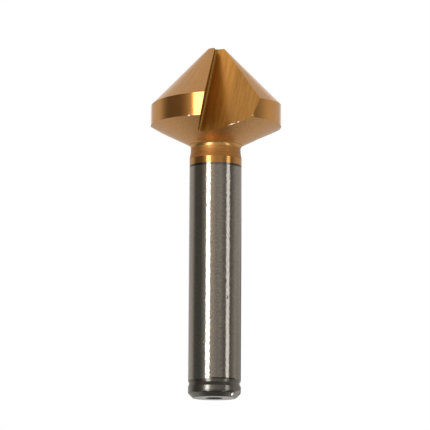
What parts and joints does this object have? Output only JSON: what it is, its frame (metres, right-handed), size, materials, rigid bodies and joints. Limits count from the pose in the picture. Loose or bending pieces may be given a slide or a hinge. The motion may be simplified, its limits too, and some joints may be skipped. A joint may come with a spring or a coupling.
{
  "type": "countersink bit",
  "caption": "Flutes and relieved lands meet in a 90 degree point over a necked head and a long parallel shank, all ground from one bar.",
  "frame": {"origin": "centre of the shank end face, on the tool's axis", "axes": "+Z along the axis from the shank end to the cutting tip; the first cutting edge lies 11 degrees from -Y, toward -X"},
  "size_m": [0.0249, 0.0248, 0.067],
  "materials": {
    "ground_steel": "ground shank, gold titanium nitride coating on the head and neck"
  },
  "bodies": {
    "root": {"countersink_bit": "ground_steel"}
  },
  "joints": []
}
